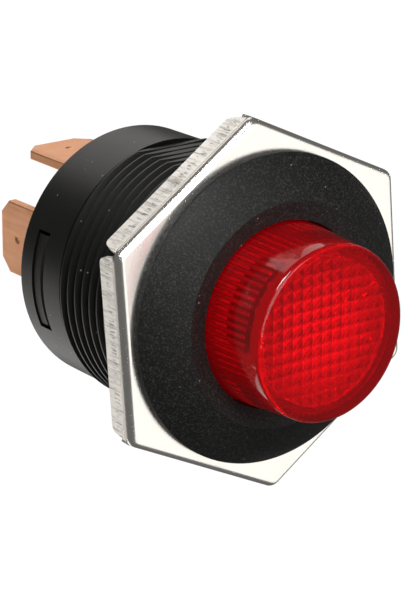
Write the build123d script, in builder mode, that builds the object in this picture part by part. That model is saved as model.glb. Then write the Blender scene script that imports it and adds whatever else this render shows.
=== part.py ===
"""Illuminated panel push button with a 22 mm threaded barrel and a pressed nut.

Millimetres, +Z up. The button's axis is Y: the lens faces -Y and the blade
terminals point to +Y. The origin is on the axis, on the rear face of the bezel,
which is the face that seats on the panel.
"""
import os
from math import cos, radians, tan

from build123d import *

os.makedirs("parts", exist_ok=True)

# ---------------------------------------------------------------- driving sizes
# Barrel
thread_radius = 11.0  # over the crests, for a 22 mm panel hole
thread_depth = 0.75
thread_pitch = 1.0
thread_crest_land = 0.16
thread_root_land = 0.1
thread_start = 1.5
flat_depth = 0.55  # how far each flat cuts in from the crests
barrel_wall = 1.05  # under the thread roots
barrel_length = 18.6
collar_length = 5.75
collar_step = 0.3  # how far the collar's rear rim lies below the crests
collar_draft = 0.08  # how much wider the collar is at its front
front_wall = 0.6  # how far the front wall reaches behind the panel seat

# Bezel
bezel_overhang = 1.6  # beyond the thread crests
bezel_edge = 0.6  # height of the bezel's straight edge above the panel
bezel_ring_width = 1.52  # flat ring between the lens hole and the crown
bezel_ring_height = 2.35
bezel_crown = 2.6  # height of the crown, where the outer slope starts
bezel_bulge = 0.18  # how far the outer slope bows outwards
edge_break = 0.12

# Snap windows in the collar, and the tabs that fill them
window_from_rear = 3.4
window_length = 1.65
window_half_angle = 22.5
snap_clearance = 0.1
snap_end_clearance = 1.5  # degrees at each end of a tab
snap_below_surface = 0.1
snap_lead = 0.5
snap_root = 0.5  # how deep a tab is rooted in the base

# Nut
nut_land = 2.4  # from the bore to the middle of a flat
nut_sheet = 0.5
nut_height = 2.5
nut_corner_radius = 1.0
nut_rim = 0.7  # depth of the closed rim, bend included, ahead of the flanges
nut_bend_radius = 0.6  # outside of the bend
nut_gap = 0.48  # open gap between two flanges at the rim
nut_taper = 0.45  # how much more the free edge is cut back at each end
nut_flange_corner = 0.6
nut_collar_height = 2.0
nut_turn = -4.3  # degrees, where the tightened nut happens to stop
thread_clearance = 0.1

# Lens
lens_radius = 7.48  # at the bezel
lens_draft = 0.4  # how much smaller its radius is at the front
lens_front = 8.2  # lens front ahead of the panel seat
lens_wall = 0.95
lens_face = 1.3
lens_edge_radius = 0.4
lens_clearance = 0.15
flute_count = 72
flute_depth = 0.3
flute_half_width = 0.24
flute_overcut = 0.1
flute_stop = 0.6  # flutes start this far behind the inner face
button_travel = 3.0

# Diffuser behind the lens face
diffuser_side_gap = 0.58
diffuser_thickness = 0.6
prism_pitch = 0.95
prism_depth = 0.4
prism_land = 0.05  # flat left on the prism tips
prism_overcut = 0.05
diffuser_gap = 0.05

# Lamp
shell_radius = 2.75
shell_wall = 0.25
shell_length = 6.7
shell_seat_depth = 0.5  # how far the shell stands in the base's floor
socket_clearance = 0.1
glass_step = 0.2  # how far the glass lies inside the shell's outside
glass_wall = 0.35
glass_neck_length = 1.15
glass_clearance = 0.03
lamp_headroom = 0.35  # between the glass and the prisms of a pressed button
stem_thickness = 0.8
support_radius = 0.13
support_offset = 0.85
filament_radius = 0.09
filament_depth = 2.9  # from the front of the glass
filament_bow = 0.5
insulator_radius = 1.55
insulator_flange = 0.45
insulator_length = 0.2
tip_radius = 0.9
tip_length = 0.25

# Terminal base
tower_wall = 0.7
tower_set_back = 2.8  # the tower starts this far ahead of the lamp's shell
base_recess = 0.4  # how far the base lies inside the barrel's rear rim
base_clearance = 0.1

# Plunger that carries the lens
guide_clearance = 0.1
plunger_flange = 1.5
plunger_skirt = 0.75
plunger_skirt_length = 5.4
spigot_wall = 0.9
spigot_length = 3.2
spigot_clearance = 0.05
sleeve_clearance = 0.65
sleeve_wall = 0.9
sleeve_length = 5.0
hook_width = 3.0
hook_thickness = 1.0
hook_grip = 0.8
hook_end = 0.9
hook_clearance = 0.1

# Contact bridge and rivets
tower_clearance = 0.2
bridge_land = 1.25  # beside the tower hole, above and below
bridge_end = 0.6  # beyond a contact
bridge_side_clearance = 0.9
bridge_thickness = 0.6
overtravel = 0.8  # the button goes this much further than the bridge
contact_inset = 1.2  # from the tower hole to a rivet's centre
contact_radius = 0.85
contact_height = 0.6
contact_dome = 0.2
shank_radius = 0.45
shank_clearance = 0.02

# Springs
return_wire = 0.5
return_side_gap = 0.35
return_turns = 4.5
contact_wire = 0.35
contact_turns = 2.0
contact_spring_room = 1.8
spring_seat_gap = 0.02

# Blade terminals
blade_width = 6.3
blade_thickness = 0.8
blade_projection = 10.4  # switch blades, behind the barrel's rear rim
lamp_blade_extra = 0.4  # how much further the lamp blades stand out
blade_chamfer = 1.15
blade_neck_length = 1.8
blade_neck = 3.0
blade_slot_clearance = 0.05
blade_from_contact = 0.75  # outer face of a switch blade beyond its rivet
blade_from_ring = 0.3  # outer face of a lamp blade inside the base's ring
foot_length = 1.75
dimple_radius = 0.6
dimple_depth = 0.12
dimple_from_tip = 2.4

# Lamp contact strips
strip_thickness = 0.4
strip_width = 2.0
strip_overlap = 1.0  # how far the tip strip passes the axis
groove_clearance = 0.05

# ---------------------------------------------------------------- derived radii
# Outer pieces, from the thread inwards
thread_root = thread_radius - thread_depth
barrel_bore = thread_root - barrel_wall
collar_radius = thread_radius - collar_step
flat_height = thread_radius - flat_depth
bezel_radius = thread_radius + bezel_overhang
nut_bore = thread_radius + thread_clearance
nut_apothem = nut_bore + nut_land
base_radius = barrel_bore - base_clearance
plunger_radius = barrel_bore - guide_clearance
skirt_inner = plunger_radius - plunger_skirt
return_mean_radius = skirt_inner - return_side_gap - return_wire / 2
# Lens
lens_hole = lens_radius + lens_clearance
bezel_crown_radius = lens_hole + bezel_ring_width
lens_inner_radius = lens_radius - lens_wall
diffuser_radius = lens_inner_radius - diffuser_side_gap
spigot_radius = lens_inner_radius - spigot_clearance
# Inner pieces, from the lamp outwards
glass_radius = shell_radius - glass_step
tower_bore = shell_radius + socket_clearance
tower_radius = tower_bore + tower_wall
sleeve_bore = tower_radius + sleeve_clearance
sleeve_radius = sleeve_bore + sleeve_wall
contact_mean_radius = (sleeve_bore + sleeve_radius) / 2
bridge_hole = tower_radius + tower_clearance
bridge_half_height = bridge_hole + bridge_land
contact_offset = bridge_hole + contact_inset
bridge_radius = contact_offset + contact_radius + bridge_end
ring_inner = bridge_radius + bridge_side_clearance
switch_blade_offset = contact_offset + blade_from_contact
lamp_blade_offset = ring_inner - blade_from_ring

# ------------------------------------------------------------- derived stations
thread_end = barrel_length - collar_length
window_start = barrel_length - window_from_rear
base_rear = barrel_length - base_recess
switch_tip = barrel_length + blade_projection
lamp_tip_station = switch_tip + lamp_blade_extra
lens_inner_front = lens_face - lens_front
diffuser_front = lens_inner_front + diffuser_gap
prism_root = diffuser_front + diffuser_thickness
prism_tip = prism_root + prism_depth
plunger_rear = front_wall + plunger_flange
skirt_end = front_wall + plunger_skirt_length
ring_front = skirt_end + button_travel
sleeve_end = front_wall + sleeve_length
bridge_front = sleeve_end + contact_spring_room
bridge_rear = bridge_front + bridge_thickness
moving_face = bridge_rear + contact_height
fixed_face = moving_face + button_travel - overtravel
foot_front = fixed_face + contact_height
base_floor = foot_front + blade_thickness
blade_shoulder = base_floor + blade_neck_length
shell_rear = base_floor + shell_seat_depth
shell_front = shell_rear - shell_length
insulator_rear = shell_rear + insulator_length
tip_rear = insulator_rear + tip_length
tower_front = shell_front - tower_set_back
glass_front = prism_tip + button_travel + lamp_headroom
glass_rear = shell_front + glass_neck_length
filament_front = glass_front + filament_depth


def station(y):
    """Plane square to the axis at y, with local x along +X and local y along +Z."""
    return Plane.XZ.offset(-y)


def finish(solid, name):
    """Label a finished piece and write its STEP file."""
    solid.label = name
    export_step(solid, f"parts/{name}.step")


# ------------------------------------------------------------------- housing
# One moulding: bezel, threaded barrel with two flats, and smooth collar.
thread_count = int((thread_end - thread_start) / thread_pitch)
ridge_half = thread_pitch / 2 - thread_root_land / 2
slope_middle = (
    (bezel_crown_radius + bezel_radius) / 2,
    -(bezel_crown + bezel_edge) / 2 - bezel_bulge,
)
with BuildPart() as barrel_housing:
    with BuildSketch(Plane.XY):
        with BuildLine():
            Polyline(
                (lens_hole, front_wall),
                (lens_hole, -bezel_ring_height),
                (bezel_crown_radius, -bezel_crown),
            )
            ThreePointArc(
                (bezel_crown_radius, -bezel_crown),
                slope_middle,
                (bezel_radius, -bezel_edge),
            )
            Polyline(
                (bezel_radius, -bezel_edge),
                (bezel_radius, 0),
                (thread_root, 0),
                (thread_root, thread_end),
                (collar_radius + collar_draft, thread_end),
                (collar_radius, barrel_length),
                (barrel_bore, barrel_length),
                (barrel_bore, front_wall),
                (lens_hole, front_wall),
            )
        make_face()
    revolve(axis=Axis.Y)
    # Thread ridges, counted forwards from the collar
    with BuildSketch(Plane.XY):
        for ridge in range(thread_count):
            crest = thread_end - thread_pitch * (ridge + 0.5)
            with BuildLine():
                Polyline(
                    (thread_root - thread_depth / 2, crest - ridge_half),
                    (thread_root, crest - ridge_half),
                    (thread_radius, crest - thread_crest_land / 2),
                    (thread_radius, crest + thread_crest_land / 2),
                    (thread_root, crest + ridge_half),
                    (thread_root - thread_depth / 2, crest + ridge_half),
                    close=True,
                )
            make_face()
    revolve(axis=Axis.Y)
    # Two flats cut the crests, so that the barrel can't turn in its panel
    flat_middle = flat_height + thread_radius / 2
    with Locations((0, thread_end / 2, flat_middle), (0, thread_end / 2, -flat_middle)):
        Box(2 * thread_radius, thread_end, thread_radius, mode=Mode.SUBTRACT)
    # A snap window through the collar on each side
    for side in (0, 180):
        first = Plane.XY.rotated((0, side - window_half_angle, 0))
        with BuildSketch(first):
            with BuildLine():
                Polyline(
                    (barrel_bore - barrel_wall, window_start),
                    (collar_radius + barrel_wall, window_start),
                    (collar_radius + barrel_wall, window_start + window_length),
                    (barrel_bore - barrel_wall, window_start + window_length),
                    close=True,
                )
            make_face()
        revolve(axis=Axis.Y, revolution_arc=2 * window_half_angle, mode=Mode.SUBTRACT)
    circles = barrel_housing.edges().filter_by(GeomType.CIRCLE)
    bezel_rim = circles.filter_by(lambda e: abs(e.radius - bezel_radius) < 0.01)
    fillet(bezel_rim.sort_by(Axis.Y)[0], edge_break)
    collar_rim = circles.filter_by(lambda e: abs(e.radius - collar_radius) < 0.01)
    fillet(collar_rim.sort_by(Axis.Y)[-1], 2 * edge_break)
finish(barrel_housing.part, "barrel_housing")

# -------------------------------------------------------------- mounting nut
# Pressed from sheet: a shallow hexagonal pan, six flanges folded back from its
# rim and apart at the corners, and a bore drawn out to a short collar.
flange_half = nut_apothem * tan(radians(30)) - nut_gap / 2
with BuildPart() as nut_flange:
    with BuildSketch(Plane.YZ):
        with BuildLine():
            Polyline(
                (nut_rim, -flange_half),
                (nut_height, nut_taper - flange_half),
                (nut_height, flange_half - nut_taper),
                (nut_rim, flange_half),
                close=True,
            )
        make_face()
        fillet(vertices().group_by(Axis.X)[-1], nut_flange_corner)
    extrude(amount=nut_apothem)
    # Each flange is one sheet thick and keeps to its own sixth of the hexagon
    with BuildSketch(station(0)):
        with BuildLine():
            gap_shift = nut_gap / 2 / cos(radians(30))
            sixth_half = (nut_apothem - gap_shift) * tan(radians(30))
            Polyline(
                (gap_shift, 0),
                (nut_apothem, sixth_half),
                (nut_apothem, -sixth_half),
                close=True,
            )
        make_face()
        with Locations((nut_apothem / 2 - nut_sheet, 0)):
            Rectangle(nut_apothem, 2 * nut_apothem, mode=Mode.SUBTRACT)
    extrude(amount=-nut_height, mode=Mode.INTERSECT)

with BuildPart() as mounting_nut:
    with BuildSketch(station(0)):
        RegularPolygon(nut_apothem, 6, major_radius=False, rotation=30)
        fillet(vertices(), nut_corner_radius)
    extrude(amount=-nut_rim)
    fillet(mounting_nut.faces().sort_by(Axis.Y)[0].edges(), nut_bend_radius)
    with BuildSketch(station(nut_sheet)):
        RegularPolygon(nut_apothem - nut_sheet, 6, major_radius=False, rotation=30)
        fillet(vertices(), nut_corner_radius - nut_sheet)
    extrude(amount=nut_sheet - nut_rim, mode=Mode.SUBTRACT)
    with BuildSketch(station(0)):
        Circle(nut_bore)
    extrude(amount=-nut_rim, mode=Mode.SUBTRACT)
    with BuildSketch(station(0)):
        Circle(nut_bore + nut_sheet)
        Circle(nut_bore, mode=Mode.SUBTRACT)
    extrude(amount=-nut_collar_height)
    for side in range(6):
        add(nut_flange.part.rotate(Axis.Y, 60 * side))
finish(mounting_nut.part.rotate(Axis.Y, nut_turn), "mounting_nut")

# ---------------------------------------------------------------------- lens
# A red cup with a slight draft. Its inner wall is fluted to spread the light.
flute_front = lens_inner_front + flute_stop
with BuildPart() as lens_cap:
    with BuildSketch(Plane.XY):
        with BuildLine():
            Polyline(
                (0, lens_inner_front),
                (0, -lens_front),
                (lens_radius - lens_draft, -lens_front),
                (lens_radius, -bezel_ring_height),
                (lens_radius, front_wall),
                (lens_inner_radius, front_wall),
                (lens_inner_radius, lens_inner_front),
                close=True,
            )
        make_face()
    revolve(axis=Axis.Y)
    fillet(lens_cap.edges().filter_by(GeomType.CIRCLE).group_by(Axis.Y)[0], lens_edge_radius)
    with BuildSketch(station(flute_front)):
        with PolarLocations(lens_inner_radius - flute_overcut, flute_count):
            Polygon(
                (0, -flute_half_width),
                (flute_depth + flute_overcut, 0),
                (0, flute_half_width),
                align=None,
            )
    extrude(amount=flute_front - front_wall, mode=Mode.SUBTRACT)
finish(lens_cap.part, "lens_cap")

# ------------------------------------------------------------------ diffuser
# A clear disc behind the lens face, with rows of square prisms on its rear.
groove_count = int(2 * diffuser_radius / prism_pitch) + 1
groove_half = (prism_pitch - prism_land) / 2
with BuildPart() as diffuser:
    with BuildSketch(station(diffuser_front)):
        Circle(diffuser_radius)
    extrude(amount=diffuser_front - prism_tip)
    for turn in (0, 90):
        with BuildSketch(Plane.XY.rotated((0, turn, 0))):
            with Locations((0, prism_root)):
                with GridLocations(prism_pitch, 1, groove_count, 1):
                    Polygon(
                        (0, 0),
                        (groove_half, prism_depth),
                        (groove_half, prism_depth + prism_overcut),
                        (-groove_half, prism_depth + prism_overcut),
                        (-groove_half, prism_depth),
                        align=None,
                    )
        extrude(amount=diffuser_radius, both=True, mode=Mode.SUBTRACT)
finish(diffuser.part, "diffuser")

# ------------------------------------------------------------------- plunger
# It carries the lens, slides in the barrel and holds the bridge by two hooks.
hook_inner = bridge_half_height + hook_clearance
leg_root = plunger_rear - plunger_flange / 2
with BuildPart() as plunger:
    with BuildSketch(Plane.XY):
        with BuildLine():
            Polyline(
                (sleeve_bore, front_wall),
                (spigot_radius - spigot_wall, front_wall),
                (spigot_radius - spigot_wall, front_wall - spigot_length),
                (spigot_radius, front_wall - spigot_length),
                (spigot_radius, front_wall),
                (plunger_radius, front_wall),
                (plunger_radius, skirt_end),
                (skirt_inner, skirt_end),
                (skirt_inner, plunger_rear),
                (sleeve_radius, plunger_rear),
                (sleeve_radius, sleeve_end),
                (sleeve_bore, sleeve_end),
                close=True,
            )
        make_face()
    revolve(axis=Axis.Y)
    with BuildSketch(Plane.YZ):
        for side in (1, -1):
            with BuildLine():
                Polyline(
                    (leg_root, side * hook_inner),
                    (bridge_rear, side * hook_inner),
                    (bridge_rear, side * (hook_inner - hook_grip)),
                    (bridge_rear + hook_end, side * hook_inner),
                    (bridge_rear + hook_end, side * (hook_inner + hook_thickness)),
                    (leg_root, side * (hook_inner + hook_thickness)),
                    close=True,
                )
            make_face()
    extrude(amount=hook_width / 2, both=True)
finish(plunger.part, "plunger")


# ------------------------------------------------------------------- springs
def coil_spring(mean_radius, wire, front, rear, turns):
    """Round-wire compression spring that fills the space between two stations."""
    lift = rear - front - wire
    with BuildPart() as spring:
        with BuildLine():
            path = Helix(
                pitch=lift / turns,
                height=lift,
                radius=mean_radius,
                center=(0, front + wire / 2, 0),
                direction=(0, 1, 0),
            )
        with BuildSketch(Plane(path @ 0, z_dir=path % 0)):
            Circle(wire / 2)
        sweep(path=path, is_frenet=True)
    return spring.part


return_spring = coil_spring(
    return_mean_radius,
    return_wire,
    plunger_rear + spring_seat_gap,
    ring_front - spring_seat_gap,
    return_turns,
)
finish(return_spring, "return_spring")
contact_spring = coil_spring(
    contact_mean_radius,
    contact_wire,
    sleeve_end + spring_seat_gap,
    bridge_front - spring_seat_gap,
    contact_turns,
)
finish(contact_spring, "contact_spring")

# ------------------------------------------------------------ contact bridge
rivet_hole = shank_radius + shank_clearance
with BuildPart() as contact_bridge:
    with BuildSketch(station(bridge_front)):
        Circle(bridge_radius)
        Rectangle(2 * bridge_radius, 2 * bridge_half_height, mode=Mode.INTERSECT)
        Circle(bridge_hole, mode=Mode.SUBTRACT)
        with Locations((contact_offset, 0), (-contact_offset, 0)):
            Circle(rivet_hole, mode=Mode.SUBTRACT)
    extrude(amount=-bridge_thickness)
finish(contact_bridge.part, "contact_bridge")


def contact_rivet(x, face, direction, grip):
    """Rivet at x: its head starts at the face and its shank fills the grip beyond.

    direction is +1 where the shank lies behind the face, -1 where it lies ahead.
    """
    seat = face + direction * contact_height
    with BuildPart() as rivet:
        with BuildSketch(Plane.XY):
            with BuildLine():
                Polyline(
                    (0, face),
                    (contact_radius - contact_dome, face),
                    (contact_radius, face + direction * contact_dome),
                    (contact_radius, seat),
                    (shank_radius, seat),
                    (shank_radius, seat + direction * grip),
                    (0, seat + direction * grip),
                    close=True,
                )
            make_face()
        revolve(axis=Axis.Y)
    return rivet.part.moved(Location((x, 0, 0)))


for name, x in (("left", -contact_offset), ("right", contact_offset)):
    moving_contact = contact_rivet(x, moving_face, -1, bridge_thickness)
    finish(moving_contact, f"moving_contact_{name}")
    fixed_contact = contact_rivet(x, fixed_face, 1, blade_thickness)
    finish(fixed_contact, f"fixed_contact_{name}")

# ------------------------------------------------------------- terminal base
# The insulator that closes the barrel: floor, spring ring, lamp tower, tabs.
slot_width = blade_width + 2 * blade_slot_clearance
slot_thickness = blade_thickness + 2 * blade_slot_clearance
neck_slot = blade_neck + 2 * blade_slot_clearance
groove_width = strip_width + 2 * groove_clearance
strip_rear = base_floor + strip_thickness
tab_half_angle = window_half_angle - snap_end_clearance
tab_tip = collar_radius - snap_below_surface
tab_root = base_radius - snap_root
tab_front = window_start + snap_clearance
tab_rear = window_start + window_length - snap_clearance
switch_slot = switch_blade_offset - blade_thickness / 2
lamp_slot = lamp_blade_offset - blade_thickness / 2
with BuildPart() as terminal_base:
    with BuildSketch(Plane.XY):
        with BuildLine():
            Polyline(
                (0, tip_rear),
                (insulator_radius + socket_clearance, tip_rear),
                (insulator_radius + socket_clearance, shell_rear),
                (tower_bore, shell_rear),
                (tower_bore, tower_front),
                (tower_radius, tower_front),
                (tower_radius, base_floor),
                (ring_inner, base_floor),
                (ring_inner, ring_front),
                (base_radius, ring_front),
                (base_radius, base_rear),
                (0, base_rear),
                close=True,
            )
        make_face()
    revolve(axis=Axis.Y)
    for side in (0, 180):
        with BuildSketch(Plane.XY.rotated((0, side - tab_half_angle, 0))):
            with BuildLine():
                Polyline(
                    (tab_root, tab_front),
                    (tab_tip - snap_lead, tab_front),
                    (tab_tip, tab_front + snap_lead),
                    (tab_tip, tab_rear),
                    (tab_root, tab_rear),
                    close=True,
                )
            make_face()
        revolve(axis=Axis.Y, revolution_arc=2 * tab_half_angle)
    # Blade slots: wide behind the shoulder, narrow through the floor
    with BuildSketch(station(blade_shoulder)):
        with Locations((switch_slot, 0), (-switch_slot, 0)):
            Rectangle(slot_thickness, slot_width)
        with Locations((0, lamp_slot), (0, -lamp_slot)):
            Rectangle(slot_width, slot_thickness)
    extrude(amount=blade_shoulder - base_rear, mode=Mode.SUBTRACT)
    with BuildSketch(station(base_floor)):
        with Locations((switch_slot, 0), (-switch_slot, 0)):
            Rectangle(slot_thickness, neck_slot)
        with Locations((0, lamp_slot), (0, -lamp_slot)):
            Rectangle(neck_slot, slot_thickness)
    extrude(amount=base_floor - blade_shoulder, mode=Mode.SUBTRACT)
    # Grooves for the two lamp strips
    with BuildSketch(station(base_floor)):
        with Locations((0, lamp_slot / 2)):
            Rectangle(groove_width, lamp_slot)
    extrude(amount=base_floor - strip_rear, mode=Mode.SUBTRACT)
    with BuildSketch(station(base_floor)):
        with Locations((0, (strip_overlap - lamp_slot) / 2)):
            Rectangle(groove_width, lamp_slot + strip_overlap)
    extrude(amount=base_floor - tip_rear - strip_thickness, mode=Mode.SUBTRACT)
finish(terminal_base.part, "terminal_base")

# ----------------------------------------------------------- blade terminals
blade_half = blade_width / 2
neck_half = blade_neck / 2


def blade(front, tip, foot):
    """Blade in the plane x = 0 to blade_thickness, whose neck starts at front."""
    with BuildPart() as tab:
        with BuildSketch(Plane.YZ):
            with BuildLine():
                Polyline(
                    (front, -neck_half),
                    (blade_shoulder, -neck_half),
                    (blade_shoulder, -blade_half),
                    (tip - blade_chamfer, -blade_half),
                    (tip, blade_chamfer - blade_half),
                    (tip, blade_half - blade_chamfer),
                    (tip - blade_chamfer, blade_half),
                    (blade_shoulder, blade_half),
                    (blade_shoulder, neck_half),
                    (front, neck_half),
                    close=True,
                )
            make_face()
        extrude(amount=blade_thickness)
        exposed = tab.edges().filter_by(lambda e: e.center().Y > blade_shoulder + edge_break)
        fillet(exposed.filter_by(lambda e: abs(e.tangent_at(0.5).X) < 0.5), edge_break)
        with Locations((dimple_depth - dimple_radius, tip - dimple_from_tip, 0)):
            Sphere(dimple_radius, rotation=(0, 0, 180), mode=Mode.SUBTRACT)
        if foot:
            with BuildSketch(station(front)):
                with Locations((foot_length / 2, 0)):
                    Rectangle(foot_length, blade_neck)
            extrude(amount=-blade_thickness)
            with BuildSketch(station(front)):
                with Locations((switch_blade_offset - contact_offset, 0)):
                    Circle(rivet_hole)
            extrude(amount=-blade_thickness, mode=Mode.SUBTRACT)
    return tab.part


switch_tab = blade(foot_front, switch_tip, foot=True)
switch_blade = switch_tab.moved(Location((-switch_blade_offset, 0, 0)))
lamp_tab = blade(base_floor, lamp_tip_station, foot=False)
lamp_blade = lamp_tab.moved(Location((-lamp_blade_offset, 0, 0)))
finish(switch_blade.rotate(Axis.Y, 0), "switch_terminal_left")
finish(switch_blade.rotate(Axis.Y, 180), "switch_terminal_right")
finish(lamp_blade.rotate(Axis.Y, 90), "lamp_terminal_upper")
finish(lamp_blade.rotate(Axis.Y, -90), "lamp_terminal_lower")

# ---------------------------------------------------------------------- lamp
glass_neck = shell_radius - shell_wall - glass_clearance
with BuildPart() as lamp_glass:
    with BuildSketch(Plane.XY):
        with BuildLine():
            dome_end = glass_front + glass_radius
            outer = CenterArc((0, dome_end), glass_radius, -90, 90)
            inner = CenterArc((0, dome_end), glass_radius - glass_wall, -90, 90)
            Polyline(
                outer @ 1,
                (glass_radius, shell_front - glass_clearance),
                (glass_neck, shell_front - glass_clearance),
                (glass_neck, glass_rear),
                (glass_neck - glass_wall, glass_rear),
                (glass_neck - glass_wall, shell_front),
                (glass_radius - glass_wall, shell_front - glass_wall),
                inner @ 1,
            )
            Line(inner @ 0, outer @ 0)
        make_face()
    revolve(axis=Axis.Y)
finish(lamp_glass.part, "lamp_glass")

stem_front = glass_rear - stem_thickness
with BuildPart() as lamp_stem:
    with BuildSketch(station(stem_front)):
        Circle(glass_neck - glass_wall - glass_clearance)
    extrude(amount=-stem_thickness)
    with BuildSketch(station(stem_front - stem_thickness)):
        Rectangle(2 * support_offset + 4 * support_radius, 4 * support_radius)
    extrude(amount=-stem_thickness)
    with BuildSketch(station(stem_front - stem_thickness)):
        with Locations((support_offset, 0), (-support_offset, 0)):
            Circle(support_radius)
    extrude(amount=-2 * stem_thickness, mode=Mode.SUBTRACT)
finish(lamp_stem.part, "lamp_stem")

with BuildPart() as filament_support:
    with BuildSketch(station(filament_front)):
        Circle(support_radius)
    extrude(amount=filament_front - glass_rear)
finish(filament_support.part.moved(Location((-support_offset, 0, 0))), "filament_support_left")
finish(filament_support.part.moved(Location((support_offset, 0, 0))), "filament_support_right")

with BuildPart() as lamp_filament:
    with BuildLine() as bow:
        ThreePointArc(
            (-support_offset, filament_front - filament_radius, 0),
            (0, filament_front - filament_radius - filament_bow, 0),
            (support_offset, filament_front - filament_radius, 0),
        )
    with BuildSketch(Plane(bow.line @ 0, z_dir=bow.line % 0)):
        Circle(filament_radius)
    sweep(path=bow.line)
finish(lamp_filament.part, "lamp_filament")

shell_inner = shell_radius - shell_wall
with BuildPart() as lamp_shell:
    with BuildSketch(Plane.XY):
        with BuildLine():
            Polyline(
                (shell_inner, shell_front),
                (shell_radius, shell_front),
                (shell_radius, shell_rear),
                (insulator_radius, shell_rear),
                (insulator_radius, shell_rear - shell_wall),
                (shell_inner, shell_rear - shell_wall),
                close=True,
            )
        make_face()
    revolve(axis=Axis.Y)
finish(lamp_shell.part, "lamp_shell")

insulator_seat = shell_rear - shell_wall
with BuildPart() as lamp_insulator:
    with BuildSketch(Plane.XY):
        with BuildLine():
            Polyline(
                (0, insulator_seat - insulator_flange),
                (shell_inner, insulator_seat - insulator_flange),
                (shell_inner, insulator_seat),
                (insulator_radius, insulator_seat),
                (insulator_radius, insulator_rear),
                (0, insulator_rear),
                close=True,
            )
        make_face()
    revolve(axis=Axis.Y)
finish(lamp_insulator.part, "lamp_insulator")

with BuildPart() as lamp_tip:
    with BuildSketch(station(insulator_rear)):
        Circle(tip_radius)
    extrude(amount=insulator_rear - tip_rear)
    fillet(lamp_tip.edges().group_by(Axis.Y)[-1], (tip_rear - insulator_rear) / 2)
finish(lamp_tip.part, "lamp_tip")

# --------------------------------------------------------- lamp contact strips
strip_outer = lamp_blade_offset - blade_thickness
with BuildPart() as lamp_shell_strip:
    with BuildSketch(station(base_floor)):
        with Locations((0, (strip_outer + shell_radius) / 2)):
            Rectangle(strip_width, strip_outer - shell_radius)
    extrude(amount=-strip_thickness)
finish(lamp_shell_strip.part, "lamp_shell_strip")

with BuildPart() as lamp_tip_strip:
    with BuildSketch(station(tip_rear)):
        with Locations((0, (strip_overlap - strip_outer) / 2)):
            Rectangle(strip_width, strip_outer + strip_overlap)
    extrude(amount=-strip_thickness)
finish(lamp_tip_strip.part, "lamp_tip_strip")
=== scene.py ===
# %% [markdown]
# The object is a push button with a lamp inside, made to be fixed in a 22 mm hole
# of a control panel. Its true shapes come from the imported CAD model, which is
# loaded as a fixed frame in metres: the button points along -Y, and +Z is up.
# What is left for this lesson is what makes plastic, glass and metal look real:
# finishes made of nodes, soft light and a camera.

# %% Load the frame
import math

import bpy
from mathutils import Matrix, Vector


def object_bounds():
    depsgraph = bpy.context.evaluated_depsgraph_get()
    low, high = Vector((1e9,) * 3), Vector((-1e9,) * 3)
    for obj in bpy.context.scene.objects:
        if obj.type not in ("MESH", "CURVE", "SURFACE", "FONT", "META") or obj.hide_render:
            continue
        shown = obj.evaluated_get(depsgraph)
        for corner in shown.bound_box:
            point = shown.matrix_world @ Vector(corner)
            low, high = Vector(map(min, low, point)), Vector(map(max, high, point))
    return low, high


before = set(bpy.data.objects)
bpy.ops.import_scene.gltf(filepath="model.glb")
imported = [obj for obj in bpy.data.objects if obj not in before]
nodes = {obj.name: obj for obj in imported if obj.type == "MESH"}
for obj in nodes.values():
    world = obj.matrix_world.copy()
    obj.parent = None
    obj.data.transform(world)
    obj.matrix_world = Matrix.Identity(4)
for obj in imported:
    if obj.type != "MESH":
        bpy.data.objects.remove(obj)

cad_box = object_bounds()

# %% [markdown]
# The camera stands in front of the button, a little above it and well to its
# left, so that the cap, the nut's flanks and the blades behind all show. It is
# placed from its bearing and height angle round the point on the axis where the
# panel's front would be, then moved a little aside and up to frame the whole
# button. A long lens keeps the perspective gentle.

# %% Camera
BEARING = math.radians(-36.611)
HEIGHT_ANGLE = math.radians(18.271)
CAMERA_DISTANCE = 0.23483
CAMERA_ASIDE = -0.005067
CAMERA_RAISED = 0.000541
FOCAL_LENGTH = 179.7
SENSOR_WIDTH = 36

towards_camera = Vector((
    math.sin(BEARING) * math.cos(HEIGHT_ANGLE),
    -math.cos(BEARING) * math.cos(HEIGHT_ANGLE),
    math.sin(HEIGHT_ANGLE),
))
camera_right = Vector((math.cos(BEARING), math.sin(BEARING), 0))
camera_up = towards_camera.cross(camera_right)

camera = bpy.data.objects.new("camera", bpy.data.cameras.new("camera"))
bpy.context.scene.collection.objects.link(camera)
camera.data.lens = FOCAL_LENGTH
camera.data.sensor_width = SENSOR_WIDTH
camera.data.clip_start = 0.01
turned = Matrix((camera_right, camera_up, towards_camera)).transposed().to_4x4()
turned.translation = (
    towards_camera * CAMERA_DISTANCE
    + camera_right * CAMERA_ASIDE
    + camera_up * CAMERA_RAISED
)
camera.matrix_world = turned
bpy.context.scene.camera = camera
print("camera at", [round(c * 1000) for c in turned.translation], "mm")

# %% [markdown]
# A plain white floor lies well below the button, and a wide white dome stands
# round both, so that the ground stays pale from every side. Both glow evenly, as a
# light table does, and are kept out of reflections: white mirrored in black
# plastic from all round would grey it.

# %% Floor and backdrop
FLOOR_DROP = 0.05
FLOOR_SIZE = 6.0

bpy.ops.object.select_all(action="DESELECT")
bpy.ops.mesh.primitive_plane_add(
    size=FLOOR_SIZE, location=(0, 0, cad_box[0].z - FLOOR_DROP)
)
floor = bpy.context.object
floor.name = "floor"
bpy.ops.object.transform_apply(location=True)

bpy.ops.object.select_all(action="DESELECT")
bpy.ops.mesh.primitive_uv_sphere_add(radius=FLOOR_SIZE / 2, segments=64, ring_count=32)
dome = bpy.context.object
dome.name = "dome"

for surface in (floor, dome):
    surface.visible_diffuse = False
    surface.visible_glossy = False
    surface.visible_transmission = False
    surface.visible_shadow = False
print("floor", FLOOR_SIZE, "m wide,", FLOOR_DROP * 1000, "mm below the button")

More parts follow.
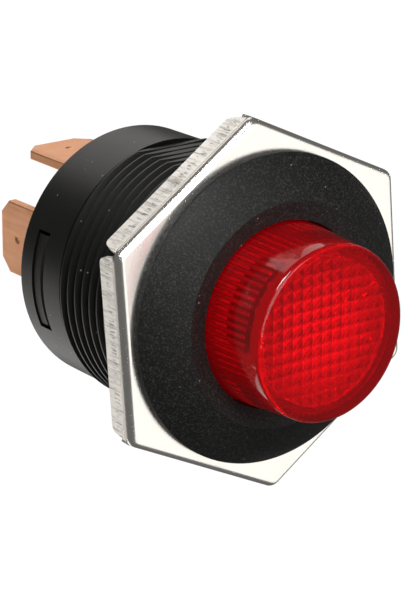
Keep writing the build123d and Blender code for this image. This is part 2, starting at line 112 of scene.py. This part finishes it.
# %% [markdown]
# Soft studio light is made of area lights, as softboxes and white cards are in a
# real studio. Each is placed where the surface that needs it mirrors it towards
# the camera: the key puts the streak on the cap's rim, the front card lights the
# bezel's crown, and the two behind, one high and one low, draw the edges of the
# round barrel and the flanges. The room itself is dark, so the black plastic
# stays black. The nut's flat face needs a white card of its own, which is linked
# to the nut alone, because the same card would put a veil over the red cap.

# %% Light
ROOM_BRIGHTNESS = 0.13
LIGHT_DISTANCE = 0.40


def softbox(name, way, size, radiance, tint=(1, 1, 1)):
    """A square area light aimed at the button from the direction way. Its power
    follows from its size and from how bright it should look."""
    data = bpy.data.lights.new(name, "AREA")
    data.shape = "SQUARE"
    data.size = size
    data.energy = radiance * math.pi * size * size
    data.color = tint
    light = bpy.data.objects.new(name, data)
    bpy.context.scene.collection.objects.link(light)
    way = Vector(way).normalized()
    light.matrix_world = Matrix.Translation(way * LIGHT_DISTANCE) @ (
        way.to_track_quat("Z", "Y").to_matrix().to_4x4()
    )
    light.visible_camera = False
    print(name, "at", [round(c * 1000) for c in way * LIGHT_DISTANCE], "mm")
    return light


world = bpy.data.worlds.new("studio")
bpy.context.scene.world = world
world.use_nodes = True
room = world.node_tree.nodes["Background"]
room.inputs["Color"].default_value = (1.0, 0.99, 0.97, 1)
room.inputs["Strength"].default_value = ROOM_BRIGHTNESS

WARM_WHITE = (1.0, 0.975, 0.94)
FRONT_RIGHT_BELOW = (0.566, -0.762, -0.31)  # what the nut's face mirrors
softbox("key_light", (-0.28, -0.56, 0.63), 0.12, 22.0)
softbox("front_card", (0.12, -0.97, 0.14), 0.24, 2.4)
softbox("high_card_behind", (0.20, 0.76, 0.60), 0.32, 1.2, WARM_WHITE)
softbox("low_card_behind", (-0.16, 0.76, -0.52), 0.34, 1.25, WARM_WHITE)
nut_card = softbox("nut_card", FRONT_RIGHT_BELOW, 0.55, 1.05, WARM_WHITE)
lit_by_card = bpy.data.collections.new("lit_by_nut_card")
lit_by_card.objects.link(nodes["mounting_nut"])
nut_card.light_linking.receiver_collection = lit_by_card
bpy.context.scene.view_settings.view_transform = "Standard"

# %% [markdown]
# Every finish is a material built of nodes. Written out node by node, even a
# simple pattern takes a page, so two small classes do the wiring. A Flow is a
# value on its way through the nodes, and sums on it add Math nodes. A Finish is a
# material in the making, with the place on the piece already in millimetres.

# %% Helpers for finishes
class Flow:
    """A value that varies over a surface; arithmetic on it adds Math nodes."""

    def __init__(self, finish, socket):
        self.finish = finish
        self.socket = socket

    def maths(self, operation, *values):
        return self.finish.node("ShaderNodeMath", {"operation": operation}, values)

    def __add__(self, other):
        return self.maths("ADD", self, other)

    def __radd__(self, other):
        return self.maths("ADD", other, self)

    def __sub__(self, other):
        return self.maths("SUBTRACT", self, other)

    def __rsub__(self, other):
        return self.maths("SUBTRACT", other, self)

    def __mul__(self, other):
        return self.maths("MULTIPLY", self, other)

    def __rmul__(self, other):
        return self.maths("MULTIPLY", other, self)

    def __truediv__(self, other):
        return self.maths("DIVIDE", self, other)

    def __pow__(self, other):
        return self.maths("POWER", self, other)

    def __abs__(self):
        return self.maths("ABSOLUTE", self)

    def least(self, other):
        return self.maths("MINIMUM", self, other)

    def fraction(self):
        return self.maths("FRACT", self)

    def ramp(self, start, end):
        """0 before start and 1 after end, with a smooth rise between."""
        return self.finish.node(
            "ShaderNodeMapRange",
            {"interpolation_type": "SMOOTHSTEP"},
            {"Value": self, "From Min": start, "From Max": end},
        )

    def band(self, low, high, soft):
        """1 between low and high, fading to 0 over soft on both sides."""
        return self.ramp(low - soft, low) * (1 - self.ramp(high, high + soft))


class Finish:
    """A material in the making."""

    def __init__(self, name):
        self.material = bpy.data.materials.new(name)
        self.material.use_nodes = True
        self.tree = self.material.node_tree
        self.tree.nodes.clear()
        metres = self.node("ShaderNodeTexCoord", output="Object")
        self.place = self.node(
            "ShaderNodeVectorMath",
            {"operation": "SCALE"},
            {"Vector": metres, "Scale": 1000.0},
        )
        parts = {"Vector": self.place}
        self.x = self.node("ShaderNodeSeparateXYZ", None, parts, "X")
        self.y = self.node("ShaderNodeSeparateXYZ", None, parts, "Y")
        self.z = self.node("ShaderNodeSeparateXYZ", None, parts, "Z")
        self.radius = (self.x * self.x + self.z * self.z) ** 0.5

    def node(self, kind, settings=None, inputs=(), output=0):
        """Adds a node: its settings first, then its sockets' values or links. The
        output node at the end of a material has no output of its own."""
        made = self.tree.nodes.new(kind)
        for key, value in (settings or {}).items():
            setattr(made, key, value)
        pairs = inputs.items() if isinstance(inputs, dict) else enumerate(inputs)
        for key, value in pairs:
            if isinstance(value, Flow):
                self.tree.links.new(value.socket, made.inputs[key])
            else:
                made.inputs[key].default_value = value
        if made.outputs:
            return Flow(self, made.outputs[output])
        return made

    def stretched(self, x, y, z):
        """The place with each direction scaled, for streaks and brush marks."""
        return self.node(
            "ShaderNodeVectorMath",
            {"operation": "MULTIPLY"},
            [self.place, (x, y, z)],
        )

    def noise(self, grain, detail=2.0, place=None):
        """Soft clouds about grain millimetres across, from 0 to 1."""
        return self.node(
            "ShaderNodeTexNoise",
            None,
            {"Vector": place or self.place, "Scale": 1 / grain, "Detail": detail},
        )

    def specks(self, spacing, share, size, edge=0.01):
        """Small dots of that size, in that share of cells spacing across."""
        cell = {"Vector": self.place, "Scale": 1 / spacing}
        away = self.node("ShaderNodeTexVoronoi", None, cell, "Distance")
        chance = self.node("ShaderNodeTexVoronoi", None, cell, "Color")
        chosen = 1 - self.node("ShaderNodeSeparateColor", None, [chance]).ramp(
            share, share + edge
        )
        return chosen * (1 - away.ramp(size / spacing * 0.5, size / spacing))

    def blend(self, share, first, second):
        """A colour that goes from first to second as share goes from 0 to 1."""
        colours = {0: share, 6: first, 7: second}  # sockets by number: names repeat
        return self.node("ShaderNodeMix", {"data_type": "RGBA"}, colours, 2)

    def relief(self, height, depth, strength=1.0):
        """Bumps where height goes from 0 to 1, depth millimetres deep."""
        sockets = {"Height": height, "Distance": depth / 1000, "Strength": strength}
        return self.node("ShaderNodeBump", None, sockets, "Normal")

    def shade(self, **sockets):
        """Puts everything on one Principled shader and returns its output."""
        named = {key.replace("_", " "): value for key, value in sockets.items()}
        return self.node("ShaderNodeBsdfPrincipled", None, named)

    def wear(self, shader, *names):
        """Gives the finished material to those CAD pieces."""
        self.node("ShaderNodeOutputMaterial", None, {"Surface": shader})
        for name in names:
            for slot in nodes[name].material_slots:
                slot.material = self.material
        print(self.material.name, "on", ", ".join(names))


# %% [markdown]
# The floor and the dome share a gentle even glow, with a faint cloudiness so that
# they don't look like a cut-out.

# %% Floor finish
paper = Finish("white_paper")
cloud = paper.noise(300.0)
tone = paper.blend(cloud, (1.0, 1.0, 1.0, 1), (0.985, 0.985, 0.985, 1))
glow = paper.node("ShaderNodeEmission", None, {"Color": tone, "Strength": 1.03})
paper.node("ShaderNodeOutputMaterial", None, {"Surface": glow})
for surface in (floor, dome):
    surface.data.materials.append(paper.material)
print(paper.material.name, "on floor and dome")

# %% [markdown]
# The barrel and its bezel are one moulding in black glass-filled nylon. The tool
# is spark-eroded on the bezel, which leaves a fine even grain that scatters light,
# and smoother on the barrel. A few pale specks are dust and glass fibre. The grain
# could be sculpted, but at a tenth of a millimetre a bump does it better.

# %% Black housing
housing = Finish("housing_black")
on_bezel = 1 - housing.y.ramp(0.0, 0.3)
grain = housing.noise(0.16, 3.0)
mottle = housing.noise(1.4, 4.0)
fleck = housing.specks(0.7, 0.14, 0.09)
deep = housing.blend(mottle, (0.0035, 0.0035, 0.0033, 1), (0.008, 0.008, 0.0075, 1))
# Partly real, partly painted light: the dark mottle is the plastic's own tone, and the
# bezel's raised grain spots are painted lighter grey, a painted sheen for the light the
# matte crown catches.
mottle_and_painted_sheen = housing.blend(on_bezel * grain.ramp(0.45, 0.75), deep, (0.045, 0.045, 0.042, 1))
housing.wear(
    housing.shade(
        Base_Color=housing.blend(
            fleck * (0.35 + 0.4 * grain), mottle_and_painted_sheen, (0.5, 0.49, 0.46, 1)
        ),
        Roughness=0.34 + on_bezel * 0.16 + 0.10 * grain,
        Specular_IOR_Level=0.38,
        Normal=housing.relief(grain * (0.35 + 0.65 * on_bezel), 0.03),
    ),
    "barrel_housing",
)

# %% [markdown]
# The terminal base behind is a harder, slightly browner moulding that holds the
# blades. It is made the same way, with less grain.

# %% Black terminal base
base = Finish("base_black")
grain = base.noise(0.2, 3.0)
base.wear(
    base.shade(
        Base_Color=base.blend(
            base.noise(1.8, 4.0), (0.006, 0.0055, 0.005, 1), (0.014, 0.012, 0.011, 1)
        ),
        Roughness=0.42 + 0.14 * grain,
        Specular_IOR_Level=0.4,
        Normal=base.relief(grain, 0.02),
    ),
    "terminal_base",
)

# %% [markdown]
# The cap is clear red acrylic, polished where the mould was polished. Light goes
# in, is scattered by the prisms behind the face, and comes back redder each time
# it crosses the wall. Real refraction does most of that. A small share of plain
# red stands for the dye's own haze. A faint red glow is painted light, so that
# the cap doesn't go black in shadow.

# %% Red cap
cap = Finish("lens_red")
haze = cap.noise(2.5, 3.0)
cap.wear(
    cap.shade(
        Base_Color=cap.blend(haze, (1.0, 0.003, 0.016, 1), (0.93, 0.002, 0.011, 1)),
        Roughness=0.03 + 0.05 * cap.noise(0.7),
        IOR=1.49,
        Specular_IOR_Level=0.35,
        Transmission_Weight=0.9,
        # Painted light: the cap is no lamp, and this faint red glow stands in for light
        # scattered inside it.
        Emission_Color=cap.blend(haze, (1.0, 0.003, 0.02, 1), (0.8, 0.002, 0.015, 1)),
        Emission_Strength=0.025,
    ),
    "lens_cap",
)

# %% [markdown]
# Behind the cap's face sits a plate with rows of small pyramids on its rear side,
# which spreads the lamp's light and throws light from in front back again. Paths
# that long are slow to trace, so a faint painted glow stands for the light the
# pyramids send back. This painted light is strong on the upper left half of each
# square, weak on the other half, and fades towards the plate's rim, as light
# falls on the real facets.

# %% Prism plate
PRISM_PITCH = 0.95

prisms = Finish("diffuser_clear")
haze = prisms.noise(1.2)
across_square = (prisms.x / PRISM_PITCH).fraction()
up_square = (prisms.z / PRISM_PITCH).fraction()
lit_half = (up_square - across_square).ramp(-0.06, 0.06)
fading = 1 - prisms.radius.ramp(2.0, 6.2)
# Painted light: a glow on the plate, which is no lamp, bright on the lit half of each
# square and dimmer towards the rim.
painted_return_glow = (0.04 + 0.96 * lit_half) * (0.25 + 0.75 * fading)
prisms.wear(
    prisms.shade(
        Base_Color=prisms.blend(haze, (1.0, 0.93, 0.93, 1), (0.95, 0.84, 0.84, 1)),
        Roughness=0.03 + 0.05 * haze,
        IOR=1.58,
        Transmission_Weight=0.9,
        Emission_Color=prisms.blend(painted_return_glow, (0, 0, 0, 1), (1.0, 0.5, 0.5, 1)),
        Emission_Strength=0.40,
    ),
    "diffuser",
)

# %% [markdown]
# The plunger that carries the cap is white acetal, a waxy plastic that sends the
# lamp's light forwards. A little light goes through it, which softens its shade.

# %% White plunger
wax = Finish("plunger_white")
cloud = wax.noise(1.6, 3.0)
wax.wear(
    wax.shade(
        Base_Color=wax.blend(cloud, (0.86, 0.85, 0.81, 1), (0.78, 0.77, 0.73, 1)),
        Roughness=0.38 + 0.12 * cloud,
        Normal=wax.relief(wax.noise(0.25), 0.01),
    ),
    "plunger",
)

# %% [markdown]
# The nut is pressed from steel sheet and nickel plated. The plating is bright on
# the flat face, and where the sheet was drawn over the die the flanges carry fine
# scratches across the fold, with a row of short marks half way. Noise stretched
# along Y draws both: it only varies round the nut, as tool marks do.

# %% Nickel nut
nickel = Finish("nut_nickel")
on_flange = nickel.y.ramp(0.75, 0.95)
streaks = nickel.noise(0.22, 4.0, nickel.stretched(1, 0.06, 1))
ticks = nickel.noise(0.11, 1.0, nickel.stretched(1, 0.12, 1)).ramp(0.56, 0.66)
marked = ticks * nickel.y.band(1.15, 1.75, 0.12)
tarnish = nickel.noise(3.0, 4.0)
# A dark brown line along the fold is painted shade: it stands for the dark room mirrored
# in the bend, not a mark on the plating.
painted_fold_shade = nickel.y.band(0.62, 0.74, 0.06) * nickel.radius.ramp(12.6, 13.2)
plating = nickel.blend(tarnish, (0.95, 0.925, 0.885, 1), (0.84, 0.815, 0.775, 1))
brushed = nickel.blend(
    on_flange * streaks.ramp(0.48, 0.72) * 0.75, plating, (0.40, 0.37, 0.33, 1)
)
marks = nickel.blend(marked * 0.75, brushed, (0.30, 0.27, 0.24, 1))
nickel.wear(
    nickel.shade(
        Base_Color=nickel.blend(painted_fold_shade * 0.55, marks, (0.22, 0.17, 0.12, 1)),
        Metallic=1.0,
        Roughness=0.22 + 0.10 * tarnish + on_flange * (0.05 + 0.14 * streaks),
        Normal=nickel.relief(
            on_flange * (streaks * 0.5 - marked) + 0.12 * nickel.noise(0.5, 3.0), 0.03
        ),
    ),
    "mounting_nut",
)

# %% [markdown]
# The blades that stick out behind are stamped from copper alloy strip. Rolling
# leaves faint lines along them, handling leaves warmer stains near the edges, and
# the metal between stays a pale salmon. The distance across a blade is the
# smaller of x and z on all four of them, so one finish serves.

# %% Copper alloy blades
copper = Finish("blade_copper_alloy")
across = abs(copper.x).least(abs(copper.z))
near_edge = across.ramp(2.1, 3.1)
stain = copper.noise(1.5, 4.0)
rolled = copper.noise(0.35, 3.0, copper.stretched(1, 0.08, 1))
fresh = copper.blend(stain, (0.95, 0.51, 0.30, 1), (0.84, 0.39, 0.20, 1))
copper.wear(
    copper.shade(
        Base_Color=copper.blend(
            near_edge * (0.25 + 0.6 * stain), fresh, (0.66, 0.32, 0.15, 1)
        ),
        Metallic=0.9,
        Roughness=0.36 + 0.18 * rolled,
        Normal=copper.relief(rolled, 0.012),
    ),
    "switch_terminal_left",
    "switch_terminal_right",
    "lamp_terminal_upper",
    "lamp_terminal_lower",
    "lamp_shell_strip",
    "lamp_tip_strip",
)

# %% [markdown]
# The pieces inside are plain metals that differ in colour and polish: spring
# steel, a brass bridge, silver contacts, the lamp's nickelled shell and its wires.
# One function makes them all, with clouds of tarnish and faint drawing lines.

# %% Small metal pieces
def small_metal(name, bright, dull, roughness, pieces):
    metal = Finish(name)
    cloud = metal.noise(0.8, 4.0)
    lines = metal.noise(0.12, 2.0, metal.stretched(1, 0.2, 1))
    metal.wear(
        metal.shade(
            Base_Color=metal.blend(cloud, (*bright, 1), (*dull, 1)),
            Metallic=1.0,
            Roughness=roughness + 0.15 * lines,
            Normal=metal.relief(lines, 0.006),
        ),
        *pieces,
    )


small_metal(
    "spring_steel", (0.62, 0.61, 0.59), (0.42, 0.41, 0.40), 0.25,
    ["return_spring", "contact_spring"],
)
small_metal(
    "bridge_brass", (0.83, 0.64, 0.30), (0.66, 0.46, 0.19), 0.28, ["contact_bridge"]
)
small_metal(
    "contact_silver", (0.92, 0.91, 0.88), (0.72, 0.69, 0.64), 0.30,
    ["moving_contact_left", "moving_contact_right",
     "fixed_contact_left", "fixed_contact_right"],
)
small_metal(
    "lamp_metal", (0.86, 0.84, 0.79), (0.66, 0.62, 0.55), 0.22,
    ["lamp_shell", "lamp_tip"],
)
small_metal(
    "lamp_wire", (0.52, 0.52, 0.54), (0.36, 0.36, 0.38), 0.35,
    ["lamp_filament", "filament_support_left", "filament_support_right"],
)

# %% [markdown]
# The lamp is a small bulb of thin clear glass on a glass stem. Glass is all gloss
# and refraction, with only the faintest smoke near the neck.

# %% Lamp glass
glass = Finish("lamp_glass")
smoke = glass.noise(1.5, 3.0)
glass.wear(
    glass.shade(
        Base_Color=glass.blend(smoke, (1.0, 1.0, 1.0, 1), (0.93, 0.93, 0.91, 1)),
        Roughness=0.01 + 0.03 * smoke,
        IOR=1.52,
        Transmission_Weight=1.0,
    ),
    "lamp_glass",
    "lamp_stem",
)

# %% [markdown]
# The lamp's foot is black vitrified glass, hard and shiny with tiny pits.

# %% Lamp insulator
foot = Finish("lamp_insulator")
pits = foot.noise(0.18, 2.0)
foot.wear(
    foot.shade(
        Base_Color=foot.blend(pits, (0.012, 0.011, 0.013, 1), (0.03, 0.028, 0.03, 1)),
        Roughness=0.14 + 0.2 * pits.ramp(0.6, 0.8),
        Normal=foot.relief(pits, 0.01),
    ),
    "lamp_insulator",
)
